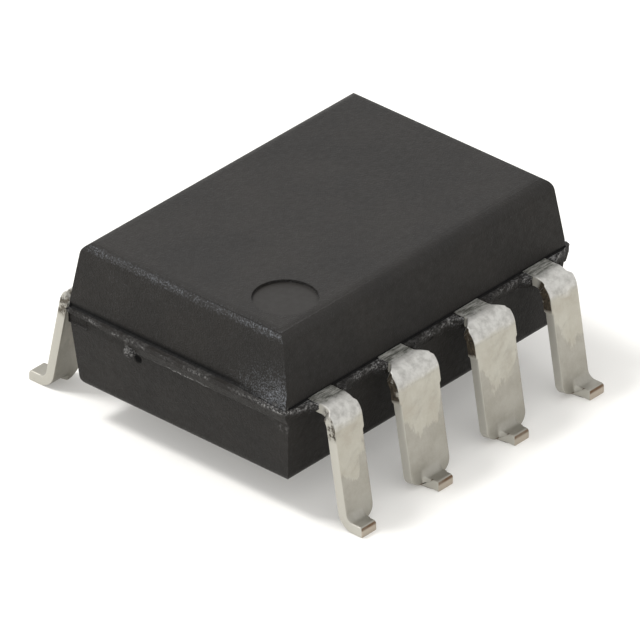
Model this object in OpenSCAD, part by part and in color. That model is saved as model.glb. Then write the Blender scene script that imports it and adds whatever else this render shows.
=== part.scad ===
// Eight-lead moulded dual-in-line package, leads formed outward into feet for surface soldering.
// X runs along the body, Y across it from the front row (-Y) to the back row (+Y), Z up.
// The underside of the feet lies on Z = 0. Lead 1 is the front lead beside the round dimple.

/* [Moulded body] */
// Length of the body at the parting line
body_l = 9.25; // [9:0.01:10.2]
// Width of the body at the parting line
body_w = 6.5; // [6.2:0.01:6.8]
// Height of the upper half, from the top face of the leads
upper_h = 1.72; // [1.4:0.01:1.9]
// Depth of the lower half, from the top face of the leads
lower_h = 2.06; // [1.6:0.01:2.2]
// Gap between the board and the underside of the body
standoff = 0.81; // [0.5:0.01:1.2]
// Draft of the long sides of the upper half, in degrees
upper_side_draft = 9.6; // [4:0.1:12]
// Draft of the short ends of the upper half, in degrees
upper_end_draft = 5.2; // [3:0.1:9]
// Draft of the long sides of the lower half, in degrees
lower_side_draft = 4.9; // [3:0.1:9]
// Draft of the short ends of the lower half, in degrees
lower_end_draft = 5.5; // [3:0.1:9]
// Radius of the long top edges
top_side_r = 0.37; // [0.1:0.01:0.6]
// Radius of the short top edges
top_end_r = 0.28; // [0.1:0.01:0.5]
// Radius of the bottom edges
bottom_r = 0.27; // [0.1:0.01:0.5]
// Width of the bevel along the upright edges
upright_bevel = 0.09; // [0.02:0.01:0.15]

/* [Lead one dimple] */
// Radius of the dimple
dimple_r = 0.74; // [0.4:0.01:0.9]
// Depth of the dimple
dimple_depth = 0.07; // [0.03:0.01:0.15]
// Distance from the dimple's centre to the end of the body
dimple_from_end = 1.4; // [1.2:0.01:1.8]
// Distance from the dimple's centre to the front side of the body
dimple_from_side = 1.33; // [1.25:0.01:1.7]

/* [Broken resin at the parting line] */
// Height of the resin rib along each short end
rib_h = 0.38; // [0.15:0.01:0.45]
// How far the rib stands out of the short ends at its top
rib_out = 0.11; // [0.05:0.01:0.2]
// How far the rib stands out at its foot
rib_foot_out = 0.03; // [0.01:0.01:0.05]
// Extra reach of the rib at its corners
rib_corner_out = 0.06; // [0:0.01:0.1]
// Length of the resin flare above the rib, from the front corner of the dimple end
flare_l = 1.9; // [0.5:0.05:2.5]
// Height of the flare
flare_h = 0.36; // [0.2:0.01:0.5]
// How far the flare stands out at the corner
flare_out = 0.08; // [0.02:0.01:0.12]
// Length of rib that broke off the dimple end, with a flake of the face below it
flake_l = 1.15; // [0.5:0.05:1.3]
// Height of the flake
flake_h = 0.55; // [0.3:0.01:0.7]
// How deep the flake cut into the end
flake_depth = 0.04; // [0.02:0.01:0.15]
// Distance from the back side of the body to the flake
flake_from_side = 0.5; // [0.3:0.05:0.7]
// Diameter of the broken gate pip on the dimple end
pip_d = 0.32; // [0.15:0.01:0.4]
// Distance from the gate pip to the back side of the body
pip_from_side = 1.87; // [1.8:0.01:2.4]
// Diameter of the pit beside the pip
pit_d = 0.2; // [0.1:0.01:0.25]
// Length of resin left in the corners beside each lead
web_l = 0.3; // [0.15:0.01:0.4]
// Width of the resin ledge left between two leads
ledge_out = 0.12; // [0.05:0.01:0.2]

/* [Leads] */
// Distance between neighbouring leads
pitch = 2.54; // [2.4:0.01:2.7]
// Thickness of the lead frame
lead_t = 0.25; // [0.2:0.01:0.3]
// Width of the necks of the middle leads
neck_w = 0.8; // [0.6:0.01:1]
// Width of the blades of the middle leads
blade_w = 1.28; // [1.1:0.01:1.5]
// Width of the feet
foot_w = 0.48; // [0.4:0.01:0.6]
// Step between the outer edge of a corner lead's neck and its blade
corner_step = 0.1; // [0.05:0.01:0.2]
// Length of the flat necks before they widen into the blades
neck_l = 0.37; // [0.3:0.01:0.4]
// Front row: distance from the body to the blades, at the height of the necks
front_reach = 0.78; // [0.7:0.01:1]
// Back row: distance from the body to the blades, at the height of the necks
back_reach = 0.72; // [0.7:0.01:1]
// Front row: outward lean of the blades, in degrees
front_lean = 9.5; // [0:0.5:14]
// Back row: outward lean of the blades, in degrees
back_lean = 12; // [0:0.5:14]
// Inside radius of the bend at the neck
neck_bend_r = 0.25; // [0.1:0.01:0.3]
// Inside radius of the bend above the foot
foot_bend_r = 0.2; // [0.1:0.01:0.3]
// Front row: length of the feet beyond the blades
front_foot_l = 0.42; // [0.35:0.01:0.6]
// Back row: length of the feet beyond the blades
back_foot_l = 0.47; // [0.35:0.01:0.6]
// Radius of the rolled upper edge of a foot's cut end
foot_edge_r = 0.06; // [0.02:0.01:0.1]
// Radius of the blades' lower corners
blade_corner_r = 0.3; // [0.1:0.01:0.35]
// How far the stubs of the cut dam bar stand out of the blades' sides
dambar_out = 0.05; // [0.02:0.01:0.08]
// Height of the dam bar's stubs
dambar_h = 0.5; // [0.3:0.01:0.6]

/* [Inside the resin] */
// Length of the die paddle
paddle_l = 3.2; // [2.6:0.05:3.4]
// Width of the die paddle
paddle_w = 2.1; // [1.8:0.05:2.4]
// Width of the paddle's tie bars
tie_bar_w = 0.4; // [0.3:0.05:0.5]
// Resin left between the end of a tie bar and the end of the body
tie_bar_cover = 0.35; // [0.25:0.05:0.6]
// Gap between the paddle and the lead fingers
finger_gap = 0.25; // [0.2:0.05:0.4]
// Width of the lead fingers at the paddle
finger_w = 0.5; // [0.35:0.01:0.6]
// Length of the die
die_l = 1.6; // [1.2:0.05:2]
// Width of the die
die_w = 1.3; // [1:0.05:1.6]
// Thickness of the die
die_t = 0.28; // [0.2:0.01:0.38]
// Thickness of the die attach
attach_t = 0.03; // [0.02:0.01:0.05]
// Width of the die attach that shows round the die
attach_edge = 0.08; // [0.03:0.01:0.15]
// Diameter of the bond wires
wire_d = 0.05; // [0.05:0.01:0.08]
// Rise of a bond wire over the line between its ends
wire_rise = 0.3; // [0.2:0.01:0.4]

/* [Hidden] */

leads_per_row = 4;
half_l = body_l / 2;
half_w = body_w / 2;
half_blade = blade_w / 2;
half_foot = foot_w / 2;
// Height of the top face of the necks, where the two halves of the mould met
parting_z = standoff + lower_h;
// Steps in each rounded corner
arc_steps = 8;
// Overshoot of cutting shapes
over = 1;
// Length over which a neck widens into its blade
shoulder_l = 0.2;
// Length over which a blade steps in to its foot
toe_step = 0.1;
// Height at which the rounded lower corners of the blades end
blade_end_z = 0.08;
// Corner radii of the stamped outline at the shoulders and at the toes
shoulder_r = 0.05;
toe_r = 0.04;
// Distance from the body at which a corner lead's outer edge steps out
corner_step_y = half_w + 0.2;
// Y beyond the tips of the feet, where the plan of every lead ends
plan_end_y = body_w;
// Half length along X of the shapes that a lead is cut from, past its finger
lead_half = 2 * pitch;
// Inner end of the middle leads' fingers
finger_end_y = paddle_w / 2 + finger_gap;
// Inner end of the corner leads' fingers, beside the end of the paddle
finger_end_x = paddle_l / 2 + finger_gap;
// Step that anchors a middle lead's finger: how far it stands out, its length and its taper
anchor_out = 0.2;
anchor_l = 0.6;
anchor_taper = 0.4;
// Resin outside the anchoring step
anchor_cover = 0.3;
// Distance from the side of the body at which a corner lead's finger turns in, and its radius
turn_in = 1;
turn_r = 0.2;
// Height of the top of the die
die_top_z = parting_z + attach_t + die_t;
// Distance of a bond wire's end from the edge of the die, and from the edges of a finger
die_pad_edge = 0.12;
finger_pad_edge = 0.2;
// Degrees by which a bond wire is drawn too long at each end, before it is cut off at its pads
wire_spare = 3;
// Sides of the round features
dimple_sides = 96;
pip_sides = 32;
pit_sides = 24;
wire_sides = 8;
wire_bend_sides = 48;

resin = [0.27, 0.265, 0.255];
tin = [0.76, 0.75, 0.71];
copper = [0.72, 0.48, 0.33];
silver_epoxy = [0.62, 0.62, 0.6];
silicon = [0.33, 0.35, 0.42];
gold = [0.86, 0.7, 0.32];

// ---------- Outlines ----------

function unit(v) = v / norm(v);

// The arc that rounds the corner at b between the edges to a and c
function corner_arc(a, b, c, r) =
    let (
        to_a = unit(a - b),
        to_c = unit(c - b),
        half_angle = acos(to_a * to_c) / 2,
        centre = b + unit(to_a + to_c) * r / sin(half_angle),
        turn = to_a.x * to_c.y - to_a.y * to_c.x > 0 ? -1 : 1,
        first = b + to_a * r / tan(half_angle) - centre,
        start = atan2(first.y, first.x),
        sweep = turn * (180 - 2 * half_angle)
    )
    [for (i = [0:arc_steps])
        let (angle = start + sweep * i / arc_steps)
        centre + r * [cos(angle), sin(angle)]];

// An outline from corners [x, y, radius], each with a radius above 0 rounded by an arc
function rounded(corners) =
    let (n = len(corners))
    [for (i = [0:n - 1])
        let (
            before = corners[(i + n - 1) % n],
            here = corners[i],
            after = corners[(i + 1) % n]
        )
        each here[2] > 0
            ? corner_arc([before.x, before.y], [here.x, here.y], [after.x, after.y], here[2])
            : [[here.x, here.y]]];

// Extrudes a Y-Z outline along X, centred
module along_x(outline, length) {
    rotate([90, 0, 90]) linear_extrude(length, center = true) polygon(outline);
}

// Extrudes an X-Z outline along Y, centred
module along_y(outline, length) {
    rotate([90, 0, 0]) linear_extrude(length, center = true) polygon(outline);
}

// ---------- Moulded body ----------

// Section of the body: drafted up and down from the parting line, with rounded top and bottom edges
function body_section(half, upper_draft, lower_draft, top_r) =
    let (
        top_half = half - upper_h * tan(upper_draft),
        bottom_half = half - lower_h * tan(lower_draft),
        top_z = parting_z + upper_h
    )
    rounded([
        [-half, parting_z, 0],
        [-bottom_half, standoff, bottom_r],
        [bottom_half, standoff, bottom_r],
        [half, parting_z, 0],
        [top_half, top_z, top_r],
        [-top_half, top_z, top_r]
    ]);

// The long sides, top and bottom, as one long bar
module side_faces() {
    along_x(body_section(half_w, upper_side_draft, lower_side_draft, top_side_r), body_l + over);
}

// Draft of the bevel between a side and an end, as seen across the corner
function bevel_draft(side_draft, end_draft) = atan((tan(side_draft) + tan(end_draft)) / sqrt(2));

module drafted_block() {
    bevel_half = (half_l + half_w - upright_bevel) / sqrt(2);
    bevel_section = body_section(
        bevel_half,
        bevel_draft(upper_side_draft, upper_end_draft),
        bevel_draft(lower_side_draft, lower_end_draft),
        top_end_r
    );
    intersection() {
        side_faces();
        along_y(body_section(half_l, upper_end_draft, lower_end_draft, top_end_r), body_w + over);
        for (angle = [-45, 45]) rotate([0, 0, angle]) along_x(bevel_section, 2 * body_l);
    }
}

// Resin squeezed out at the parting line on a short end, on the +X side
module end_rib() {
    corner_l = half_l + rib_out + rib_corner_out;
    intersection() {
        translate([0, 0, parting_z - rib_h])
            linear_extrude(rib_h)
                polygon([
                    [half_l - rib_h, -half_w + rib_h],
                    [half_l - rib_h / 2, -half_w],
                    [corner_l, -half_w],
                    [half_l + rib_out, -half_w + 2 * rib_h],
                    [half_l + rib_out, half_w - 2 * rib_h],
                    [corner_l, half_w],
                    [half_l - rib_h / 2, half_w],
                    [half_l - rib_h, half_w - rib_h]
                ]);
        along_y(
            [
                [half_l - rib_h, parting_z],
                [half_l - rib_h, parting_z - rib_h],
                [half_l + rib_foot_out - rib_h * tan(lower_end_draft), parting_z - rib_h],
                [half_l + rib_out, parting_z - rib_h / 3],
                [corner_l, parting_z]
            ],
            2 * body_w
        );
    }
}

// Thin resin spread over the foot of the dimple end, above the parting line at the front corner
module corner_flare() {
    intersection() {
        side_faces();
        along_y(
            [
                [-half_l + flare_h, parting_z],
                [-half_l - flare_out, parting_z],
                [-half_l + flare_h * tan(upper_end_draft), parting_z + flare_h]
            ],
            body_w
        );
        translate([0, 0, parting_z])
            linear_extrude(flare_h)
                polygon([
                    [-half_l + flare_h, -half_w],
                    [-half_l - flare_out, -half_w],
                    [-half_l - flare_out / 2, -half_w + flare_l / 2],
                    [-half_l + flare_h * tan(upper_end_draft), -half_w + flare_l]
                ]);
    }
}

// Where the rib broke away from the dimple end and took a flake of the face below with it
module flake() {
    side = half_w - flake_from_side;
    lip = rib_h / 3;
    translate([-half_l + flake_depth, 0, parting_z])
        rotate([90, 0, -90])
            linear_extrude(over)
                polygon([
                    [-side, -lip],
                    [-side + lip / 2, -flake_h],
                    [-side + flake_l, -flake_h + lip],
                    [-side + flake_l + lip, -lip]
                ]);
}

// Stub where the resin gate snapped off, at the foot of the rib on the dimple end
module gate_pip() {
    translate([-half_l, half_w - pip_from_side, parting_z - rib_h])
        sphere(d = pip_d, $fn = pip_sides);
}

// Pit below and beside the stub
module gate_pit() {
    translate([-half_l, half_w - (pip_from_side + pip_d / 2), parting_z - rib_h - pip_d / 2])
        sphere(d = pit_d, $fn = pit_sides);
}

// Resin dam left between two necks on the +Y side: full width in the corners beside the
// necks and broken back to a narrow ledge between them
module dam_ledge(left, right) {
    translate([0, 0, parting_z - lead_t])
        linear_extrude(lead_t)
            polygon([
                [left, half_w - lead_t],
                [left, half_w + web_l],
                [left + web_l / 3, half_w + web_l],
                [left + web_l, half_w + ledge_out],
                [right - web_l, half_w + ledge_out],
                [right - web_l / 3, half_w + web_l],
                [right, half_w + web_l],
                [right, half_w - lead_t]
            ]);
}

// Resin dam outside a corner lead, tapering away to the end of the body
module corner_ledge() {
    neck = lead_x(leads_per_row) + half_foot - corner_step;
    translate([0, 0, parting_z - lead_t])
        linear_extrude(lead_t)
            polygon([
                [neck, half_w - lead_t],
                [neck, half_w + web_l],
                [neck + web_l / 2, half_w + web_l / 2],
                [half_l, half_w],
                [half_l - lead_t, half_w - lead_t]
            ]);
}

// All the resin dams on the +Y side
module dam_resin() {
    middle = [lead_x(2) + neck_w / 2, lead_x(3) - neck_w / 2];
    outer = [lead_x(3) + neck_w / 2, lead_x(4) - half_blade];
    dam_ledge(middle[0], middle[1]);
    for (side = [0, 1])
        mirror([side, 0, 0]) {
            dam_ledge(outer[0], outer[1]);
            corner_ledge();
        }
}

module dimple() {
    translate([-half_l + dimple_from_end, -half_w + dimple_from_side, parting_z + upper_h - dimple_depth])
        cylinder(h = over, r = dimple_r, $fn = dimple_sides);
}

module moulded_body() {
    color(resin)
        difference() {
            union() {
                drafted_block();
                end_rib();
                mirror([1, 0, 0]) end_rib();
                corner_flare();
                gate_pip();
                dam_resin();
                mirror([0, 1, 0]) dam_resin();
            }
            dimple();
            flake();
            gate_pit();
            inner_pieces();
        }
}

// ---------- Leads ----------

// Centre of the foot of lead n, counted anticlockwise from lead 1
function lead_x(n) =
    let (place = n <= leads_per_row ? n : 2 * leads_per_row + 1 - n)
    (place - (leads_per_row + 1) / 2) * pitch;
function in_front(n) = n <= leads_per_row;
function at_corner(n) = n == 1 || n == leads_per_row || n == leads_per_row + 1 || n == 2 * leads_per_row;

// Side view of a formed lead: neck, bend, leaning blade, bend, foot. The inside of each bend
// is offset from its outside by the thickness of the metal.
function lead_profile(inner_y, reach, lean, foot_l) =
    let (
        t = lead_t,
        blade_y = half_w + reach,
        foot_z = lead_t,
        slope = tan(lean),
        skin = t / cos(lean),
        foot_top_y = blade_y + (parting_z - foot_z) * slope,
        heel_y = blade_y + parting_z * slope - skin,
        neck_under_y = blade_y + t * slope - skin,
        tip_y = foot_top_y + foot_l
    )
    rounded([
        [inner_y, parting_z, 0],
        [blade_y, parting_z, neck_bend_r + t],
        [foot_top_y, foot_z, foot_bend_r],
        [tip_y, foot_z, foot_edge_r],
        [tip_y, 0, 0],
        [heel_y, 0, foot_bend_r + t],
        [neck_under_y, parting_z - t, neck_bend_r],
        [inner_y, parting_z - t, 0]
    ]);

// Plan of a middle lead: finger with an anchoring step, neck, blade, foot
function middle_plan(toe_y) =
    let (
        neck = neck_w / 2,
        finger = finger_w / 2,
        anchor = neck + anchor_out,
        anchor_y = half_w - anchor_cover,
        shoulder_y = half_w + neck_l,
        side = [
            [finger, finger_end_y, 0],
            [finger, anchor_y - anchor_l - anchor_taper, 0],
            [anchor, anchor_y - anchor_l, 0],
            [anchor, anchor_y, 0],
            [neck, anchor_y, 0],
            [neck, shoulder_y, 0],
            [half_blade, shoulder_y + shoulder_l, shoulder_r],
            [half_blade, toe_y, toe_r],
            [half_foot, toe_y + toe_step, toe_r],
            [half_foot, plan_end_y, 0]
        ],
        last = len(side) - 1
    )
    rounded(concat(side, [for (i = [last:-1:0]) [-side[i].x, side[i].y, side[i][2]]]));

// Plan of a corner lead, +X outward: the finger turns in beside the end of the paddle, the blade is
// wide on the inner side only and flush with the foot on the outer side
function corner_plan(toe_y, x) =
    let (
        turn_y = half_w - turn_in,
        tip_x = finger_end_x - x,
        tip_y = tie_bar_w / 2 + finger_gap
    )
    rounded([
        [half_foot, plan_end_y, 0],
        [half_foot, corner_step_y, 0],
        [half_foot - corner_step, corner_step_y, 0],
        [half_foot - corner_step, turn_y, turn_r],
        [tip_x + finger_w, tip_y, 0],
        [tip_x, tip_y, 0],
        [tip_x, tip_y + finger_w, 0],
        [-half_blade, turn_y + corner_step, turn_r],
        [-half_blade, toe_y, toe_r],
        [-half_foot, toe_y + toe_step, toe_r],
        [-half_foot, plan_end_y, 0]
    ]);

// Front view of the blade and foot: the wide blade rounds in to the narrow foot. On a corner
// lead the outer side steps out from the neck partway round the bend.
function blade_front(outer_half, outer_step) =
    let (top = parting_z + over)
    rounded([
        [-lead_half, top, 0],
        [-lead_half, parting_z - lead_t, 0],
        [-half_blade, parting_z - lead_t, 0],
        [-half_blade, blade_end_z, blade_corner_r],
        [-half_foot, blade_end_z, 0],
        [-half_foot, -over, 0],
        [half_foot, -over, 0],
        each outer_half > half_foot
            ? [[half_foot, blade_end_z, 0], [outer_half, blade_end_z, blade_corner_r]]
            : [],
        [outer_half, parting_z - lead_t, 0],
        each outer_step > 0
            ? [
                [outer_half - outer_step, parting_z - lead_t + outer_step, 0],
                [outer_half - outer_step, top, 0]
            ]
            : [[lead_half, parting_z - lead_t, 0], [lead_half, top, 0]]
    ]);

// Stub that the cut dam bar left on the -X side of a blade, from the shoulder outward
module dambar_stub() {
    stub_top = parting_z - lead_t;
    stub_foot = stub_top - dambar_h;
    intersection() {
        along_y(
            [
                [0, stub_top],
                [-half_blade, stub_top],
                [-half_blade - dambar_out, stub_top - dambar_out],
                [-half_blade - dambar_out, stub_foot + dambar_out],
                [-half_blade, stub_foot],
                [0, stub_foot]
            ],
            2 * body_w
        );
        translate([-lead_half, half_w + neck_l + shoulder_l, 0]) cube([2 * lead_half, body_w, parting_z]);
    }
}

// Lead n in place, with its finger in the resin
module lead_solid(n) {
    reach = in_front(n) ? front_reach : back_reach;
    lean = in_front(n) ? front_lean : back_lean;
    foot_l = in_front(n) ? front_foot_l : back_foot_l;
    x = abs(lead_x(n));
    corner = at_corner(n);
    inner_y = corner ? tie_bar_w / 2 + finger_gap : finger_end_y;
    toe_y = half_w + reach + (parting_z - lead_t - foot_bend_r) * tan(lean);
    plan = corner ? corner_plan(toe_y, x) : middle_plan(toe_y);

    mirror([0, in_front(n) ? 1 : 0, 0])
        mirror([lead_x(n) < 0 ? 1 : 0, 0, 0])
            translate([x, 0, 0])
                intersection() {
                    along_x(lead_profile(inner_y, reach, lean, foot_l), 2 * lead_half);
                    union() {
                        intersection() {
                            translate([0, 0, -over]) linear_extrude(parting_z + 2 * over) polygon(plan);
                            along_y(
                                corner ? blade_front(half_foot, corner_step) : blade_front(half_blade, 0),
                                2 * body_w
                            );
                        }
                        dambar_stub();
                        if (!corner) mirror([1, 0, 0]) dambar_stub();
                    }
                }
}

module lead(n) {
    color(tin) lead_solid(n);
}

// ---------- Die and paddle ----------

module die_paddle() {
    bar_l = 2 * (half_l - tie_bar_cover);
    color(copper)
        translate([0, 0, parting_z - lead_t])
            linear_extrude(lead_t)
                union() {
                    square([paddle_l, paddle_w], center = true);
                    square([bar_l, tie_bar_w], center = true);
                }
}

module die_attach() {
    color(silver_epoxy)
        translate([-die_l / 2 - attach_edge, -die_w / 2 - attach_edge, parting_z])
            cube([die_l + 2 * attach_edge, die_w + 2 * attach_edge, attach_t]);
}

module die() {
    color(silicon)
        translate([-die_l / 2, -die_w / 2, parting_z + attach_t])
            cube([die_l, die_w, die_t]);
}

// Where the wire of lead n meets the die, and where it meets the lead's finger
function die_pad(n) =
    let (
        side = lead_x(n) < 0 ? -1 : 1,
        row = in_front(n) ? -1 : 1
    )
    at_corner(n)
        ? [side * (die_l / 2 - die_pad_edge), row * die_w / 4, die_top_z]
        : [side * die_l / 4, row * (die_w / 2 - die_pad_edge), die_top_z];
function finger_pad(n) =
    let (
        side = lead_x(n) < 0 ? -1 : 1,
        row = in_front(n) ? -1 : 1
    )
    at_corner(n)
        ? [
            side * (finger_end_x + finger_pad_edge),
            row * (tie_bar_w / 2 + finger_gap + finger_pad_edge),
            parting_z
        ]
        : [lead_x(n), row * (finger_end_y + finger_pad_edge), parting_z];

// Bond wire n: an arc in the upright plane through its two pads, cut off where it meets them
module bond_wire_solid(n) {
    a = die_pad(n);
    b = finger_pad(n);
    run = norm([b.x - a.x, b.y - a.y]);
    chord = norm(b - a);
    radius = (chord * chord / 4 + wire_rise * wire_rise) / (2 * wire_rise);
    half_sweep = 2 * atan(2 * wire_rise / chord);
    difference() {
        translate((a + b) / 2)
            rotate([0, 0, atan2(b.y - a.y, b.x - a.x)])
                rotate([0, atan2(a.z - b.z, run), 0])
                    rotate([90, 0, 0])
                        translate([0, wire_rise - radius, 0])
                            rotate([0, 0, 90 - half_sweep - wire_spare])
                                rotate_extrude(angle = 2 * (half_sweep + wire_spare), $fn = wire_bend_sides)
                                    translate([radius, 0]) circle(d = wire_d, $fn = wire_sides);
        die();
        die_attach();
        lead_solid(n);
    }
}

module bond_wire(n) {
    color(gold) bond_wire_solid(n);
}

// Everything that the resin was moulded round
module inner_pieces() {
    die_paddle();
    die_attach();
    die();
    for (n = [1:2 * leads_per_row]) {
        lead_solid(n);
        bond_wire_solid(n);
    }
}

moulded_body();
for (n = [1:2 * leads_per_row]) {
    lead(n);
}
die_paddle();
die_attach();
die();
for (n = [1:2 * leads_per_row]) {
    bond_wire(n);
}
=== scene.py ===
import math

import bmesh
import bpy
import numpy as np
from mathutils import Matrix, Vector, noise


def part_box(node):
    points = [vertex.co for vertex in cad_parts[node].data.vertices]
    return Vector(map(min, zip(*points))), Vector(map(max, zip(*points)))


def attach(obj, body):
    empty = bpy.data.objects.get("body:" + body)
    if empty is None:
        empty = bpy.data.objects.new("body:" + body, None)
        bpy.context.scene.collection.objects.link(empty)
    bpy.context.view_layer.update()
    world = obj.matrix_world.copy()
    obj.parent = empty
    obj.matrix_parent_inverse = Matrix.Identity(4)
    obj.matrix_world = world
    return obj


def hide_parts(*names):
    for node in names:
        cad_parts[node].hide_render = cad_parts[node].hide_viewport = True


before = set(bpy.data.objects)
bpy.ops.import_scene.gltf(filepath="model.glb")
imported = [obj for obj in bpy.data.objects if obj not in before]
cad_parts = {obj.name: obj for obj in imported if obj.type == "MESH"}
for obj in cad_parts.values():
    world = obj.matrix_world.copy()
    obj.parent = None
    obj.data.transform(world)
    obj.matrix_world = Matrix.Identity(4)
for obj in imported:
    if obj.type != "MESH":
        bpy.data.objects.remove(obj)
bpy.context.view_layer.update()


# ---------------------------------------------------------------------------
# Moulded body. One block of black epoxy compound, cast round the lead frame in
# a two-part mould. The mould's halves met at the top of the leads, where thin
# resin squeezed out and was broken off again, so only there is it rough.
# ---------------------------------------------------------------------------

MM = 0.001  # metres
body_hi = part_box("moulded_body")[1]
TOP_Z = body_hi.z
PARTING_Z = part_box("lead_1")[1].z  # the two halves of the mould met here
WEB_L = 0.3 * MM  # resin left in the corners beside each lead
RIB_REACH = 0.17 * MM  # how far the rib's corners stand out of the ends
RIB_H = 0.38 * MM
HALF_W = body_hi.y - WEB_L  # at the parting line
HALF_L = body_hi.x - RIB_REACH
CORNER_BEVEL = 0.03 * MM  # worn edges of the upright corners
CORNER_AREA = 0.5 * MM  # an upright corner's edges lie within this of the body's corner,
UPRIGHT_MIN = 0.9 * MM  # and are longer than this
DIMPLE = Vector((1.4 * MM - HALF_L, 1.33 * MM - HALF_W))
DIMPLE_R = 0.74 * MM
DIMPLE_DEPTH = 0.07 * MM
DIMPLE_SOFT = 0.012 * MM  # roundness of its rim and of the foot of its wall
BAND_BELOW = 0.70 * MM  # extent of the finely divided band at the parting line
BAND_ABOVE = 0.36 * MM
BAND_IN = 0.3 * MM  # how far in from the body's sides it reaches
BAND_STEP = 0.035 * MM
SEAM_BELOW, SEAM_ABOVE = 0.05 * MM, 0.09 * MM  # the finest part, past the rib's foot and top
SEAM_STEP = 0.016 * MM
HAIR, WELD = 0.0001 * MM, 0.0004 * MM  # distances too fine to matter


def cad_shape(node):
    """The node's CAD solid with shared corners and whole flat faces."""
    bm = bmesh.new()
    bm.from_mesh(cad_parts[node].data)
    bmesh.ops.remove_doubles(bm, verts=bm.verts, dist=WELD)
    bmesh.ops.dissolve_limit(bm, angle_limit=math.radians(0.6), verts=bm.verts, edges=bm.edges)
    return bm


def faces_across(bm, axis, low, high, reaches):
    """Faces that have some of themselves between low and high along an axis."""
    found = []
    for f in bm.faces:
        c = [v.co[axis] for v in f.verts]
        if min(c) < high and max(c) > low and reaches(f):
            found.append(f)
    return found


def slice_faces(bm, axis, positions, reaches):
    """Cuts the chosen faces at each position along an axis."""
    normal = [0, 0, 0]
    normal[axis] = 1
    for p in positions:
        point = [0, 0, 0]
        point[axis] = p
        faces = faces_across(bm, axis, p - HAIR, p + HAIR, reaches)
        edges = {e for f in faces for e in f.edges}
        verts = {v for f in faces for v in f.verts}
        bmesh.ops.bisect_plane(bm, geom=list(verts) + list(edges) + faces, dist=2 * HAIR,
                               plane_co=point, plane_no=normal)


def steps(low, high, step):
    """Even positions between two limits, which themselves are left out."""
    n = max(1, round((high - low) / step))
    return [low + (high - low) * i / n for i in range(1, n)]


def ramp(x, low, high):
    """0 below low, 1 above high, and smooth between them."""
    t = min(1.0, max(0.0, (x - low) / (high - low)))
    return t * t * (3 - 2 * t)


def fractal(co, size, seed=0.0, octaves=4):
    """Noise from about -1 to 1 with grains of the given size."""
    return noise.fractal(Vector(co) / size + Vector((seed, seed * 0.7, -seed)), 1.0, 2.0, octaves)


def centre(f):
    return f.calc_center_median()


body = cad_shape("moulded_body")

# the bevels of the upright corners, above and below the rib, are worn round
uprights = [
    e for e in body.edges
    if all(abs(v.co.x) > HALF_L - CORNER_AREA and abs(v.co.y) > HALF_W - CORNER_AREA for v in e.verts)
    and abs(e.verts[0].co.z - e.verts[1].co.z) > UPRIGHT_MIN
    and e.is_manifold and e.calc_face_angle() > math.radians(30)
]
bmesh.ops.bevel(body, geom=uprights, offset=CORNER_BEVEL, segments=3, profile=0.5,
                affect="EDGES", clamp_overlap=True)

# the dimple's rim and the foot of its wall are not quite sharp
dimple_edges = [
    e for e in body.edges
    if all(v.co.z > TOP_Z - 1.3 * DIMPLE_DEPTH and (v.co.xy - DIMPLE).length < 1.05 * DIMPLE_R
           for v in e.verts)
    and abs(e.verts[0].co.z - e.verts[1].co.z) < HAIR
    and e.is_manifold and e.calc_face_angle() > math.radians(60)
]
bmesh.ops.bevel(body, geom=dimple_edges, offset=DIMPLE_SOFT, segments=2, profile=0.5,
                affect="EDGES", clamp_overlap=True)

band_low, band_high = PARTING_Z - BAND_BELOW, PARTING_Z + BAND_ABOVE


def in_band(f):
    z = [v.co.z for v in f.verts]
    near_side = any(abs(v.co.x) > HALF_L - BAND_IN or abs(v.co.y) > HALF_W - BAND_IN for v in f.verts)
    return near_side and max(z) <= band_high + HAIR and min(z) >= band_low - HAIR


def at_end(f):
    return in_band(f) and abs(centre(f).x) > HALF_L - BAND_IN / 2


def at_side(f):
    return in_band(f) and abs(centre(f).y) > HALF_W - BAND_IN / 2


slice_faces(body, 2, [band_low, band_high], lambda f: True)
slice_faces(body, 1, steps(-body_hi.y, body_hi.y, BAND_STEP), at_end)
slice_faces(body, 0, steps(-body_hi.x, body_hi.x, BAND_STEP), at_side)
for sign in (-1, 1):
    slice_faces(body, 0, [sign * x for x in steps(HALF_L - BAND_IN / 3, body_hi.x, BAND_STEP)], at_end)
    slice_faces(body, 1, [sign * y for y in steps(HALF_W - BAND_IN / 3, body_hi.y, BAND_STEP)], at_side)
seam_low, seam_high = PARTING_Z - RIB_H - SEAM_BELOW, PARTING_Z + SEAM_ABOVE
slice_faces(body, 2, steps(band_low, seam_low, 2 * SEAM_STEP), in_band)
slice_faces(body, 2, [seam_low] + steps(seam_low, seam_high, SEAM_STEP) + [seam_high], in_band)
slice_faces(body, 2, steps(seam_high, band_high, 2 * SEAM_STEP), in_band)
bmesh.ops.triangulate(body, faces=[f for f in body.faces if in_band(f)])


def bell(x, middle, width):
    """1 at the middle, falling off evenly on both sides."""
    return math.exp(-((x - middle) / width) ** 2)


# the X of each front lead's left and right sides, where the resin between them ends
MIDDLE_INSET = 0.29 * MM  # a middle lead's neck is this much narrower than its box on each side
CORNER_LEAD_W = 0.88 * MM  # width of a corner lead's blade
lead_boxes = [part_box(f"lead_{n}") for n in (1, 2, 3, 4)]
LEAD_SIDES = [(low.x + MIDDLE_INSET, high.x - MIDDLE_INSET) for low, high in lead_boxes]
LEAD_SIDES[0] = (lead_boxes[0][0].x, lead_boxes[0][0].x + CORNER_LEAD_W)
LEAD_SIDES[3] = (lead_boxes[3][1].x - CORNER_LEAD_W, lead_boxes[3][1].x)


def along_gap(x):
    """0 to 1 from one front lead's right side to the next one's left side, and 0 under a lead."""
    for left, right in zip(LEAD_SIDES, LEAD_SIDES[1:]):
        if left[1] < x < right[0]:
            return (x - left[1]) / (right[0] - left[1])
    return 0.0


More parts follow.
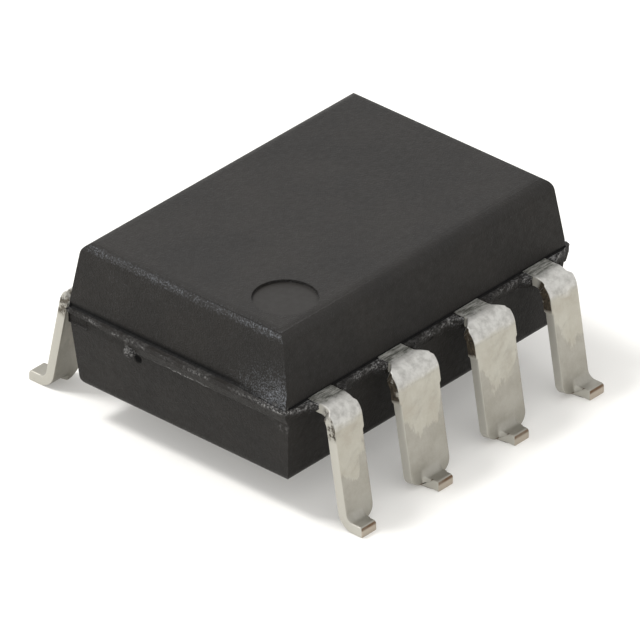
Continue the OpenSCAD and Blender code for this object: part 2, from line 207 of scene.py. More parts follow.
COARSE, CRUMBS, PATCHES = 0.13 * MM, 0.045 * MM, 0.55 * MM  # sizes of the broken resin's grains
PIP = Vector((-HALF_L, HALF_W - 1.87 * MM, PARTING_Z - RIB_H))  # the broken gate
PIP_R = 0.16  # millimetres, as are the sizes from here to the body's mesh
PIT = PIP + Vector((0, -PIP_R, -PIP_R)) * MM
PIT_R = 0.13
half_l, half_w = HALF_L / MM, HALF_W / MM
rib_reach, rib_h, band_below = RIB_REACH / MM, RIB_H / MM, BAND_BELOW / MM
TORN_FROM, TORN_TO = -0.95, 0.40  # Y of the torn stretch of the rib's foot
WEB_H = 0.30  # height of the torn resin between the leads


class Spot:
    """A point near the parting line: how far it stands out past the body's nominal length and
    width, its height above the parting line, and the broken resin's grains there."""

    def __init__(self, co):
        self.co = co
        self.y = co.y / MM
        self.x_out = abs(co.x) / MM - half_l
        self.y_out = abs(co.y) / MM - half_w
        self.up = (co.z - PARTING_Z) / MM
        self.coarse = fractal(co, COARSE, 3.1)
        self.crumbs = fractal(co, CRUMBS, 8.2)
        self.patches = fractal(co, PATCHES, 5.7, 2)
        self.on_end = self.x_out > -0.03 and self.y_out < 0.002
        self.dimple_end = co.x < 0

    def rough(self):
        """How far broken resin is out of true."""
        return 0.010 * self.coarse + 0.008 * self.crumbs


def rib_finish(p):
    """The rib along a short end: broken along its upper edge, and in places along its foot, with a
    painted shadow line below its foot; by the dimple's corner its pale broken lip is partly a painted
    highlight.
    """
    upper = 0.45 * bell(p.up, -0.05, 0.05) * ramp(p.patches + 0.6 * p.coarse, -0.3, 0.3)
    foot = 0.4 * bell(p.up, -rib_h, 0.025) * ramp(p.patches + 0.4 * p.coarse, 0.05, 0.4)
    if p.dimple_end:
        torn = ramp(p.y, TORN_FROM, TORN_FROM + 0.15) * ramp(-p.y, -TORN_TO, 0.1 - TORN_TO)
        torn *= ramp(p.coarse + 0.5 * p.crumbs, -1.2, -0.6)
        foot = max(foot, 1.3 * bell(p.up, 0.005 - rib_h, 0.04) * torn)
        # by the dimple's corner the upper lip is pale broken resin, partly a painted highlight of light
        # catching it
        corner = ramp(-p.y, half_w - 1.6, half_w - 0.3)
        upper = max(upper, bell(p.up, -0.04, 0.05) * corner)
    broken = min(1.0, upper + foot)
    # painted shadow line just below the rib's foot
    dark = 0.6 * bell(p.up, -rib_h - 0.03, 0.02) * (1 - foot)
    # its pointed corners are broken round
    tip = ramp(p.x_out, 0.09, rib_reach) * ramp(p.y_out, -0.12, 0.0)
    return broken, dark, 0.005 * p.coarse + broken * p.rough() - 0.06 * tip


def wall_finish(p):
    """The end wall above the rib: a fine groove at the joint, darkened with painted shade, then a
    slight outward flare that is strongest by the dimple's corner, where the mould was worn and the pale
    lip is partly a painted highlight."""
    worn = ramp(-p.y, 0.9, half_w - 0.3) if p.dimple_end else 0.0
    flare = max(0.0, 1 - p.up / (0.16 + 0.2 * worn))
    groove = bell(p.up, 0.06, 0.07) * (1 - 0.8 * worn)
    # by the dimple's corner the lip is pale broken resin, partly a painted highlight of light catching
    # it
    broken = worn * bell(p.up, 0.055, 0.018) * ramp(p.coarse, -0.4, 0.3)
    # painted shade in the groove at the joint, less by the dimple's corner
    dark = bell(p.up, 0.05, 0.09) * (1 - 0.75 * worn)
    move = 0.014 * flare * flare - 0.045 * groove
    return broken, dark, move + 0.012 * broken + 0.006 * worn * p.crumbs


def web_finish(p):
    """The resin left between the leads, torn off by the trimming tool."""
    along = along_gap(p.co.x) if p.co.y < 0 else 0.5 + 0.5 * p.patches
    if p.x_out > -0.7:
        along = 1.0
    pale = 0.25 + 0.75 * ramp(along + 0.5 * p.patches, 0.45, 0.8)
    broken = ramp(p.up, -0.2, -0.03) * pale * ramp(p.coarse + 0.5 * p.crumbs, -0.7, 0.2)
    move = (0.016 * p.coarse + 0.010 * p.crumbs) * ramp(p.y_out, 0.01, 0.06)
    move -= 0.03 * max(0.0, p.patches) * ramp(p.y_out, 0.05, 0.1)
    return broken, 0.0, move


def scuffs_below(p):
    """Scuffs below the rib, by the dimple's corner."""
    if not p.dimple_end or p.x_out < -0.1 or p.y > 0 or not -band_below < p.up < -rib_h:
        return 0.0
    from_corner, below_rib = p.y + half_w, -p.up - rib_h
    by_edge = bell(from_corner, 0.8, 0.22) * bell(below_rib, 0.05, 0.04)
    by_corner = bell(from_corner, 0.17, 0.16) * ramp(below_rib, 0.04, 0.12)
    by_corner *= ramp(p.up, -band_below, 0.1 - band_below)
    return max(0.7 * by_edge * ramp(p.coarse + 0.6 * p.crumbs, -0.1, 0.5),
               0.4 * by_corner * ramp(p.coarse + p.crumbs, -0.5, 0.3))


def gate_finish(p, broken, dark, move):
    """Where the gate snapped off, and the pit beside it."""
    from_pip = (p.co - PIP).length / MM
    if from_pip < PIP_R + 0.11 and p.dimple_end and p.x_out > -0.06:
        snapped = 1 - ramp(from_pip + 0.05 * p.coarse, PIP_R - 0.01, PIP_R + 0.06)
        broken = max(broken, 0.6 * snapped)
        dark *= 1 - snapped
        move += snapped * p.rough()
    from_pit = (p.co - PIT).length / MM
    if from_pit < PIT_R:
        # painted shade in the pit
        pitted = 1 - ramp(from_pit, PIT_R - 0.04, PIT_R)
        broken *= 1 - pitted
        dark = max(dark, pitted)
        move -= 0.03 * pitted
    return broken, dark, move


def seam_finish(co):
    """How broken the resin is at a point near the parting line, how dark with painted shade, and how
    far it is out of true along its normal."""
    p = Spot(co)
    broken = dark = move = 0.0
    if p.on_end and p.x_out > -0.02 and -rib_h - 0.05 < p.up < 0.01:
        broken, dark, move = rib_finish(p)
    elif p.on_end and 0.0 <= p.up < BAND_ABOVE / MM:
        broken, dark, move = wall_finish(p)
    elif p.y_out > 0.012 and -WEB_H < p.up < 0.012:
        broken, dark, move = web_finish(p)
    elif abs(p.y_out) < 0.03 and 0.0 <= p.up < 0.1:  # the joint along a long side: a slight groove with a painted shadow line
        dark, move = bell(p.up, 0.015, 0.03), -0.025 * bell(p.up, 0.012, 0.02)
    return gate_finish(p, max(broken, scuffs_below(p)), dark, move)


def without_corner(co):
    """A point with the rib broken off at the back corner of the dimple end, where a thin part of
    its upper lip is left and nothing below it."""
    up = (co.z - PARTING_Z) / MM
    if co.x > -HALF_L or not -rib_h - 0.02 < up < 0.01:
        return co
    lost = ramp(co.y / MM, half_w - 1.5, half_w - 0.4)
    lip = 0.03 + 0.02 * fractal(co, COARSE, 3.1)
    chipped = -0.038
    left = chipped + (lip - chipped) * ramp(up, -0.15, -0.11)
    return co + Vector((lost * max(0.0, -co.x - HALF_L - left * MM), 0, 0))


body.normal_update()
broken_layer = body.verts.layers.float.new("broken")
# the dark layer is painted shade: the groove above the rib, the line below it, the pit and the long
# sides' joint
painted_shade_layer = body.verts.layers.float.new("dark")
moved = []
for v in body.verts:
    if band_low < v.co.z < band_high:
        v[broken_layer], v[painted_shade_layer], move = seam_finish(v.co)
        moved.append((v, v.normal * (move * MM)))
for v, move in moved:
    v.co = without_corner(v.co + move)


body_mesh = bpy.data.meshes.new("moulded_body_skin")
body.to_mesh(body_mesh)
body.free()
body_mesh.set_sharp_from_angle(angle=math.radians(28))
moulded_block = bpy.data.objects.new("moulded_block", body_mesh)
bpy.context.scene.collection.objects.link(moulded_block)
for p in body_mesh.polygons:
    p.use_smooth = True
even = moulded_block.modifiers.new("flat_faces_stay_flat", "WEIGHTED_NORMAL")
even.keep_sharp = True
even.mode = "FACE_AREA"
even.weight = 50


class Nodes:
    """Short names for wiring a material's nodes."""

    def __init__(self, name):
        self.material = bpy.data.materials.new(name)
        self.material.use_nodes = True
        self.tree = self.material.node_tree
        self.shader = self.tree.nodes["Principled BSDF"]

    def add(self, kind, **settings):
        node = self.tree.nodes.new(kind)
        for key, value in settings.items():
            if key in node.inputs:
                node.inputs[key].default_value = value
            else:
                setattr(node, key, value)
        return node

    def link(self, source, target):
        self.tree.links.new(source, target)

    def give(self, value, socket):
        """Sets a socket to a number or a colour, or links an output to it."""
        if isinstance(value, (int, float, tuple)):
            socket.default_value = value
        else:
            self.link(value, socket)

    def place(self):
        """Coordinates on the object, in millimetres."""
        scaled = self.add("ShaderNodeVectorMath", operation="SCALE")
        scaled.inputs["Scale"].default_value = 1 / MM
        self.link(self.add("ShaderNodeTexCoord").outputs["Object"], scaled.inputs[0])
        return scaled.outputs[0]

    def normal(self):
        return self.split(self.add("ShaderNodeTexCoord").outputs["Normal"])

    def grain(self, where, scale, detail=3.0, roughness=0.55):
        node = self.add("ShaderNodeTexNoise", Scale=scale, Detail=detail, Roughness=roughness)
        self.link(where, node.inputs["Vector"])
        return node.outputs["Fac"]

    def math(self, operation, a, b=0.5, clamp=False):
        node = self.add("ShaderNodeMath", operation=operation, use_clamp=clamp)
        self.give(a, node.inputs[0])
        self.give(b, node.inputs[1])
        return node.outputs[0]

    def chain(self, operation, values):
        result, *others = values
        for other in others:
            result = self.math(operation, result, other)
        return result

    def times(self, *values):
        return self.chain("MULTIPLY", values)

    def plus(self, *values):
        return self.chain("ADD", values)

    def minus(self, a, b):
        return self.math("SUBTRACT", a, b)

    def most(self, *values):
        return self.chain("MAXIMUM", values)

    def size(self, value):
        return self.math("ABSOLUTE", value)

    def split(self, vector):
        node = self.add("ShaderNodeSeparateXYZ")
        self.link(vector, node.inputs[0])
        return node.outputs[0], node.outputs[1], node.outputs[2]

    def join(self, *parts):
        node = self.add("ShaderNodeCombineXYZ")
        for value, socket in zip(parts, node.inputs):
            self.give(value, socket)
        return node.outputs[0]

    def fit(self, value, from_low, from_high, to_low=0.0, to_high=1.0):
        """The value's place between two limits, carried over to two others and held there."""
        node = self.add("ShaderNodeMapRange", clamp=True)
        for i, number in enumerate((from_low, from_high, to_low, to_high)):
            node.inputs[i + 1].default_value = number
        self.link(value, node.inputs[0])
        return node.outputs[0]

    def mix(self, share, a, b):
        node = self.add("ShaderNodeMix", data_type="RGBA")
        for socket, value in ((0, share), (6, a), (7, b)):
            self.give(value, node.inputs[socket])
        return node.outputs[2]

    def attribute(self, name, output="Fac"):
        return self.add("ShaderNodeAttribute", attribute_name=name).outputs[output]

    def bump(self, height, distance, strength=1.0, onto=None):
        node = self.add("ShaderNodeBump", Strength=strength, Distance=distance)
        self.link(height, node.inputs["Height"])
        if onto is not None:
            self.link(onto, node.inputs["Normal"])
        return node.outputs["Normal"]


def grey(value, warm=0.0):
    """A linear grey, a little warm or cool."""
    return (value * (1 + warm), value, value * (1 - warm), 1.0)


RESIN = grey(0.006, 0.2), grey(0.009, 0.2)
SILICA = grey(0.026, 0.03)
# pale bluish grey for scuffs, and also a painted sheen of the cool key light
SCUFF_AND_SHEEN = (0.125, 0.132, 0.144, 1)
DIMPLE_FLOOR = grey(0.015, 0.12)
RUBBLE = grey(0.025, 0.02), grey(0.30, 0.02)
# near-black for painted shade
PAINTED_SHADE_BLACK = grey(0.002)
PATCH_W, PATCH_H = 2.2, 1.3  # half axes of the oval of scuffs and painted sheen at the dimple's corner
top, parting = TOP_Z / MM, PARTING_Z / MM


def wear_and_sheen_mask(m, at, normal_x, normal_y, normal_z):
    """Where the resin shows scuffs and a painted sheen of the key light: along an end's upper edge and
    down the upright corners, in an oval above the rib by the dimple's corner, and faintly in clouds
    over the ends."""
    x, _, z = m.split(at)
    to_end = m.size(normal_x)
    # the edge and upright masks follow how the normals face the key light: partly scuffs, partly a
    # painted highlight
    edge = m.times(m.fit(m.times(to_end, normal_z), 0.05, 0.45), m.fit(z, top - 0.45, top - 0.35),
                   m.fit(m.size(x), half_l - 0.5, half_l - 0.4))
    upright = m.fit(m.times(to_end, m.size(normal_y)), 0.15, 0.5, 0.0, 0.6)
    blotchy = m.fit(m.grain(at, 1.1, 3.0, 0.6), 0.3, 0.6, 0.4, 0.85)
    oval = m.add("ShaderNodeVectorMath", operation="MULTIPLY_ADD")
    m.link(at, oval.inputs[0])
    oval.inputs[1].default_value = (0.0, 1 / PATCH_W, 1 / PATCH_H)
    oval.inputs[2].default_value = (0.0, half_w / PATCH_W, -parting / PATCH_H)
    away = m.add("ShaderNodeVectorMath", operation="LENGTH")
    m.link(oval.outputs[0], away.inputs[0])
    # the oval on faces tilted up by the dimple's corner: scuffs and a painted sheen
    patch = m.times(m.fit(away.outputs["Value"], 1.0, 0.25), m.fit(normal_x, -0.7, -0.9),
                    m.fit(z, parting, parting + 0.02))
    # faint clouds over the ends above the parting line: scuffs and a painted sheen
    clouds = m.times(m.fit(m.grain(at, 1.3, 3.0, 0.7), 0.5, 0.7, 0.0, 0.35),
                     m.fit(to_end, 0.8, 0.9), m.fit(z, parting + 0.03, parting + 0.23))
    return m.most(m.times(m.most(edge, upright), blotchy), patch, clouds)


def moulding_compound():
    """Black epoxy full of fine silica: matt and grainy, pale with scuffs and a painted sheen on the
    edges of its short ends and by the dimple's corner, paler and rougher still where it broke, and with
    painted shade in its grooves and pit."""
    m = Nodes("moulding_compound")
    at = m.place()
    _, _, z = m.split(at)
    normal_x, normal_y, normal_z = m.normal()
    broken = m.attribute("broken")
    dark = m.attribute("dark")
    fine = m.grain(at, 24.0, 2.0, 0.6)
    middling = m.grain(at, 7.0, 3.0)
    tone = m.mix(m.fit(m.grain(at, 0.7, 2.0), 0.35, 0.65), *RESIN)
    tone = m.mix(m.fit(fine, 0.58, 0.75, 0.0, 0.5), tone, SILICA)
    scuffed_and_sheen = wear_and_sheen_mask(m, at, normal_x, normal_y, normal_z)
    sparkle = m.plus(m.grain(at, 24.0, 3.0, 0.8), m.fit(scuffed_and_sheen, 0.0, 1.0, -0.12, 0.02))
    # specks of the pale grey: scuffs and a painted sheen
    tone = m.mix(m.times(scuffed_and_sheen, m.fit(sparkle, 0.47, 0.62)), tone, SCUFF_AND_SHEEN)
    in_dimple = m.times(m.math("LESS_THAN", z, top - 0.06), m.fit(normal_z, 0.98, 0.99))
    tone = m.mix(in_dimple, tone, DIMPLE_FLOOR)
    rubble = m.mix(m.fit(m.grain(at, 20.0, 3.0, 0.75), 0.46, 0.62), *RUBBLE)
    tone = m.mix(broken, tone, rubble)
    # painted shade, from the dark attribute
    m.link(m.mix(dark, tone, PAINTED_SHADE_BLACK), m.shader.inputs["Base Color"])

    dull = m.plus(m.fit(middling, 0.3, 0.7, 0.46, 0.58), m.fit(m.size(normal_z), 0.25, 0.6, 0.18, 0.0))
    dull = m.math("ADD", dull, m.times(m.most(broken, dark), 0.3), clamp=True)
    m.link(dull, m.shader.inputs["Roughness"])
    m.shader.inputs["Specular IOR Level"].default_value = 0.31
    # the ends are coarser than the top, and the dimple's floor is smooth
    coarse = m.fit(m.most(m.size(normal_x), scuffed_and_sheen), 0.1, 0.6, 0.014, 0.048)
    grain_height = m.times(fine, coarse, m.fit(in_dimple, 0.0, 1.0, 1.0, 0.15))
    rolling = m.bump(m.times(middling, m.fit(in_dimple, 0.0, 1.0, 1.0, 0.3)), 0.012 * MM, 0.5)
    m.link(m.bump(grain_height, MM, 1.0, rolling), m.shader.inputs["Normal"])
    return m.material


body_mesh.materials.append(moulding_compound())
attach(moulded_block, "root")
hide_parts("moulded_body")


# ---------------------------------------------------------------------------
# Leads. Each is stamped from a 0.25 mm copper alloy strip, plated with tin, and
# bent down and out after the moulding. The strip's outline is drawn flat here,
# and then bent round the two forming radii as the press does it.
# ---------------------------------------------------------------------------

LEAD_T = 0.25  # millimetres, as are all of this section's sizes
NECK_HALF, BLADE_HALF, FOOT_HALF = 0.4, 0.64, 0.24
CORNER_STEP = 0.1  # between a corner lead's outer neck edge and its blade
STEP_FROM, STEP_TO = 0.62, 0.72  # where that step lies, out from the body's face
STUB_OUT, STUB_H = 0.05, 0.5  # stubs of the cut dam bar on the blades' sides,
STUB_FROM = 0.06  # and how far they start below the shoulder
FINGER_HALF, ANCHOR_HALF = 0.25, 0.6
FINGER_X = 1.85  # a corner lead's finger ends here
FINGER_W, FINGER_L = 0.5, 0.5  # width and straight length of its end
SLANT_END = 1.0  # its slant ends this far in from the body's face,
SLANT_LAG = 0.1  # and its inner edge this much later
ANCHOR_FAR, ANCHOR_FULL, ANCHOR_NEAR = 1.3, 0.9, 0.3  # the anchor's outline, in from the body's face
NECK_L, SHOULDER_L = 0.37, 0.215
NECK_BEND, FOOT_BEND = 0.5, 0.2  # radii of the upper, outer skin
FOOT_L = {"front": 0.42, "back": 0.47}
LEAN = {"front": math.radians(9.5), "back": math.radians(12)}
BLADE_END_Z = 0.08
BLADE_CORNER = 0.3
TIP_ROLL = 0.06
EDGE_ROLL = 0.035  # the stamping's rounded side, upward and outward
EDGE_BURR = 0.012  # and its sharp side
UNBENT = 0.07  # the width beside the foot in which the second bend fades out
RING_STEP, INNER_STEP = 0.04, 0.1
MIDDLE_COLUMNS, FLANK_COLUMNS = 14, 12  # across the foot's width, and on each side of it


class Form:
    """The press's two bends: where a point of the flat strip ends up."""

    def __init__(self, row, tip_y, start_y):
        self.start_y = start_y
        self.turn = math.pi / 2 - LEAN[row]
        foot_y = tip_y - FOOT_L[row]
        blade_y = foot_y - (parting - LEAD_T) * math.tan(LEAN[row])
        cut_1 = NECK_BEND * math.tan(self.turn / 2)
        cut_2 = FOOT_BEND * math.tan(self.turn / 2)
        blade = math.hypot(foot_y - blade_y, parting - LEAD_T)
        self.bend_1 = blade_y - cut_1 - start_y
        self.bend_1_end = self.bend_1 + NECK_BEND * self.turn
        self.bend_2 = self.bend_1_end + blade - cut_1 - cut_2
        self.bend_2_end = self.bend_2 + FOOT_BEND * self.turn
        self.tip = self.bend_2_end + tip_y - foot_y - cut_2
        down = math.cos(LEAN[row])
        bend_2_z = LEAD_T + cut_2 * down
        self.blade_end = self.bend_2 + (bend_2_z - BLADE_END_Z) / down
        self.body_face = half_w - start_y
        self.stub = self.body_face + NECK_L + SHOULDER_L + STUB_FROM
        bend_1_z = parting - NECK_BEND * (1 - math.cos(self.turn))
        self.stub_end = self.bend_1_end + (bend_1_z - parting + LEAD_T + STUB_H) / down

    def at(self, s, n, second_bend=1.0):
        """Y, Z of the point s along the strip's upper skin and n above it."""
        y, z, angle = self.start_y, parting, 0.0
        lengths = (
            (self.bend_1, None, 0),
            (self.bend_1_end, NECK_BEND, 1),
            (self.bend_2, None, 0),
            (self.bend_2_end, FOOT_BEND, -1),
            (math.inf, None, 0),
        )
        done = 0.0
        for i, (end, radius, way) in enumerate(lengths):
            run = min(s, end) - done
            if run <= 0:
                break
            if way == 0 or (i >= 3 and second_bend <= 0):
                y += run * math.cos(angle)
                z -= run * math.sin(angle)
            else:
                ease = 1.0 if i < 3 else second_bend
                new = angle + way * ease * run / radius
                r = radius / ease
                y += way * r * (math.sin(new) - math.sin(angle))
                z -= way * r * (math.cos(angle) - math.cos(new))
                angle = new
            done += run
        return y + n * math.sin(angle), z + n * math.cos(angle)


def between(points, s):
    """A value that runs straight between (s, value) points."""
    xs, values = zip(*points)
    return float(np.interp(s, xs, values))


def rounded_end(s, end, radius, full, least):
    """Half width of a strip whose corners are rounded, up to its end."""
    if s <= end - radius:
        return full
    if s >= end:
        return least
    drop = radius - math.sqrt(max(0.0, radius ** 2 - (s - end + radius) ** 2))
    return max(least, full - drop)


def stub(form, s):
    """How far the cut dam bar's stub stands out of the blade's side."""
    return between([(form.stub, 0), (form.stub + STUB_OUT, STUB_OUT),
                    (form.stub_end - STUB_OUT, STUB_OUT), (form.stub_end, 0)], s)


def outline(form, corner, x):
    """Functions for a strip's edges, at -X and +X of its foot's centre, along s."""
    face = form.body_face
    shoulder = face + NECK_L

    def blade_half(s):
        return stub(form, s) + rounded_end(s, form.blade_end, BLADE_CORNER, BLADE_HALF, FOOT_HALF)

    def middle(s):
        if s >= shoulder + SHOULDER_L:
            return blade_half(s)
        return between([(0, FINGER_HALF), (face - ANCHOR_FAR, FINGER_HALF),
                        (face - ANCHOR_FULL, ANCHOR_HALF), (face - ANCHOR_NEAR - 0.001, ANCHOR_HALF),
                        (face - ANCHOR_NEAR, NECK_HALF), (shoulder, NECK_HALF),
                        (shoulder + SHOULDER_L, BLADE_HALF)], s)

    finger_x = FINGER_X - x
    slant_end = face - SLANT_END

    def inner(s):
        if s < slant_end + SLANT_LAG:
            return -between([(0, finger_x), (FINGER_L, finger_x),
                             (slant_end + SLANT_LAG, -BLADE_HALF)], s)
        return blade_half(s)

    def outer(s):
        neck = FOOT_HALF - CORNER_STEP
        return between([(0, finger_x + FINGER_W), (slant_end, neck), (face + STEP_FROM, neck),
                        (face + STEP_TO, FOOT_HALF)], s)
    return (inner, outer) if corner else (middle, middle)


def columns(low, high):
    """Places across the strip. The foot's own width is divided apart from the flanks beside it."""
    foot_edge = FOOT_HALF - EDGE_ROLL
    foot_low, foot_high = max(low, -foot_edge), min(high, foot_edge)
    left_flank = np.linspace(low, foot_low, FLANK_COLUMNS, endpoint=False)
    right_flank = np.linspace(high, foot_high, FLANK_COLUMNS, endpoint=False)[::-1]
    return np.concatenate([left_flank, np.linspace(foot_low, foot_high, MIDDLE_COLUMNS), right_flank])


def section(left, right, top_h, bottom_h):
    """Points round the strip's section: flat skins, a rolled edge above and a sharp one below."""
    roll = [(EDGE_ROLL * (1 - math.sin(a)), EDGE_ROLL * (1 - math.cos(a)))
            for a in (math.radians(30), math.radians(60), math.radians(90))]
    xs = columns(EDGE_ROLL - left, right - EDGE_ROLL)
    middle_h = (top_h + bottom_h) / 2
    points = [(x, top_h) for x in xs]
    points += [(right - inset, top_h - drop) for inset, drop in roll]
    points += [(right, middle_h), (right, bottom_h + EDGE_BURR)]
    points += [(x, bottom_h) for x in xs[::-1]]
    points += [(-left, bottom_h + EDGE_BURR), (-left, middle_h)]
    points += [(inset - left, top_h - drop) for inset, drop in roll[::-1]]
    return points


def ring_places(form):
    """The places along the strip at which its section is set out, closer at bends and corners."""
    face, corner_from, end = form.body_face, form.blade_end - BLADE_CORNER, form.tip
    near = face - ANCHOR_NEAR
    quarter = [math.sin(math.radians(a)) for a in range(0, 90, 6)]
    tip = [math.sin(math.radians(a)) for a in range(0, 91, 15)]
    places = [0.0, *np.arange(INNER_STEP, near - 0.01, INNER_STEP), near - 0.001, near + 0.001]
    places += list(np.arange(near + 0.05, corner_from, RING_STEP))
    places += [form.blade_end - BLADE_CORNER * (1 - q) for q in quarter]
    places += [form.blade_end - 0.0004, form.blade_end]
    places += list(np.arange(form.blade_end + RING_STEP / 2, end - TIP_ROLL, RING_STEP / 2))
    places += [end - TIP_ROLL * (1 - t) for t in tip]
    return sorted(set(round(s, 5) for s in places))


def build_lead(n):
    """Lead n as a bent strip, with its place along and across the strip kept for its finish."""
    row = "front" if n <= 4 else "back"
    low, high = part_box(f"lead_{n}")
    facing = -1 if row == "front" else 1
    tip_y = (high.y if facing > 0 else -low.y) / MM
    start_y = (low.y if facing > 0 else -high.y) / MM
    corner = n in (1, 4, 5, 8)
    place = n if n <= 4 else 9 - n
    side = -1 if place <= 2 else 1
    outer_x = (high.x if side > 0 else -low.x) / MM
    x = outer_x - (FOOT_HALF if corner else BLADE_HALF + STUB_OUT)
    form = Form(row, tip_y, start_y)
    inner, outer = outline(form, corner, x)

    bm = bmesh.new()
    strip = bm.verts.layers.float_vector.new("strip")
    rings = []
    for s in ring_places(form):
        past = max(0.0, s - form.tip + TIP_ROLL)
        roll = TIP_ROLL - math.sqrt(max(0.0, TIP_ROLL ** 2 - past ** 2))
        ring = []
        for w, h in section(inner(s), outer(s), -roll, -LEAD_T):
            flank = ramp(abs(w), FOOT_HALF + 0.005, FOOT_HALF + 0.005 + UNBENT)
            bent = 1.0 if s > form.blade_end else 1.0 - flank
            y, z = form.at(s, h, bent)
            v = bm.verts.new(Vector(((x + w) * side, y * facing, max(z, 0.0))) * MM)
            v[strip] = Vector((s - form.body_face, w * side, h))
            ring.append(v)
        rings.append(ring)
    count = len(rings[0])
    for a, b in zip(rings, rings[1:]):
        for i in range(count):
            j = (i + 1) % count
            bm.faces.new((a[i], a[j], b[j], b[i]))
    bm.faces.new(rings[0][::-1])
    bm.faces.new(rings[-1])
    # where a flank has no width its columns lie on each other
    bmesh.ops.remove_doubles(bm, verts=bm.verts, dist=1e-5 * MM)
    bmesh.ops.recalc_face_normals(bm, faces=bm.faces)
    mesh = bpy.data.meshes.new(f"lead_strip_{n}")
    bm.to_mesh(mesh)
    bm.free()
    mesh.set_sharp_from_angle(angle=math.radians(50))
    for p in mesh.polygons:
        p.use_smooth = True
    formed = bpy.data.objects.new(f"formed_lead_{n}", mesh)
    bpy.context.scene.collection.objects.link(formed)
    return formed


# where the tin's finish changes, along the strip from the body's face
NECK_TIN_TO, TOOL_MARK_AT, BEND_TIN_TO, GREYER_FROM, SHEARED_FROM = 0.44, 1.05, 1.22, 2.85, 3.42
CUT_FROM, CUT_TO = 0.40, 1.42  # the dam bar's cut
CREAM_TIN = (0.39, 0.365, 0.31, 1), (0.45, 0.435, 0.38, 1)
SATIN_TIN = (0.315, 0.30, 0.26, 1), (0.36, 0.345, 0.305, 1)
# whiter tin for the bends, partly a painted highlight
BEND_TIN_AND_HIGHLIGHT = (0.40, 0.39, 0.365, 1), (0.57, 0.56, 0.53, 1)
SCRATCHED_TIN = (0.10, 0.10, 0.085, 1), (0.46, 0.455, 0.42, 1)
CUT_COPPER = (0.016, 0.012, 0.007, 1), (0.09, 0.07, 0.045, 1)
SHEARED_END = (0.46, 0.40, 0.33, 1), (0.13, 0.075, 0.04, 1)
STREAK, SMEAR = (0.36, 0.34, 0.29, 1), (0.27, 0.255, 0.225, 1)
# the last two are painted light for the blades' sides and painted shade for faces the light reaches
# less
TOOL_MARK, PAINTED_LIGHT_SIDE_TIN, PAINTED_SHADE_TIN = (0.25, 0.24, 0.2, 1), (0.47, 0.455, 0.405, 1), (0.22, 0.21, 0.18, 1)


